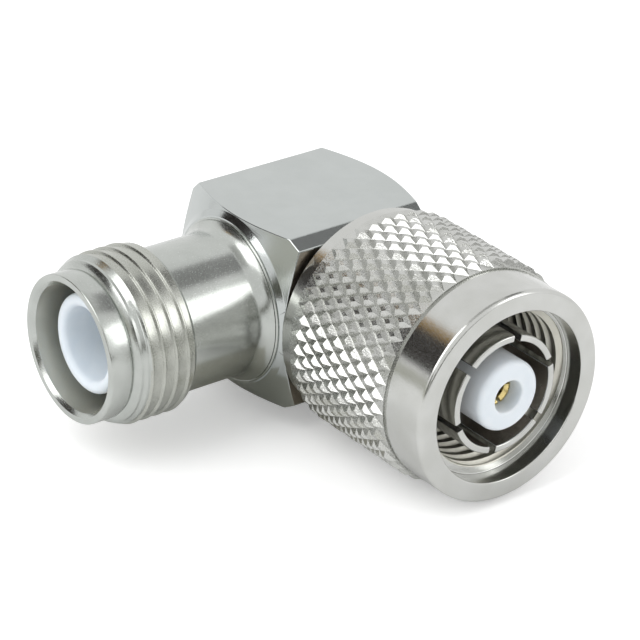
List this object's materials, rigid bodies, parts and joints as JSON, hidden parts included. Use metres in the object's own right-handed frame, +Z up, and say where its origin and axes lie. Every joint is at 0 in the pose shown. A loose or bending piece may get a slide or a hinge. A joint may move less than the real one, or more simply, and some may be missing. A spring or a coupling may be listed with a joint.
{
  "type": "right-angle coax adapter",
  "caption": "Right-angle coaxial adapter: square elbow block, jack with outside thread and white cup insulator, plug with knurled coupling nut, slotted spring sleeve and recessed socket.",
  "frame": {"origin": "point of the block's lower flat straight below the crossing of the plug and jack axes", "axes": "+X out of the plug, -Y out of the jack, +Z up through the block's flats"},
  "size_m": [0.0256, 0.0264, 0.015],
  "materials": {
    "nickel_block": "satin nickel plate",
    "nickel_turned": "bright nickel plate",
    "nickel_nut": "bright nickel plate",
    "white_insulator": "smooth white fluoropolymer",
    "gold_contact": "gold plate",
    "spring_steel": "plain spring wire",
    "dark_rubber": "smooth silicone rubber"
  },
  "bodies": {
    "elbow": {"elbow_block": "nickel_block", "access_cap": "nickel_block", "jack_barrel": "nickel_turned", "jack_insulator": "white_insulator", "jack_pin": "gold_contact", "plug_shell": "nickel_turned", "outer_contact": "nickel_turned", "plug_insulator": "white_insulator", "plug_socket": "gold_contact", "retaining_ring": "spring_steel", "gasket": "dark_rubber"},
    "nut": {"coupling_nut": "nickel_nut"}
  },
  "joints": [
    {"name": "nut_turn", "type": "hinge", "parent": "elbow", "child": "nut", "pos_m": [0.013, 0, 0.006], "axis": [1, 0, 0], "continuous": true}
  ]
}
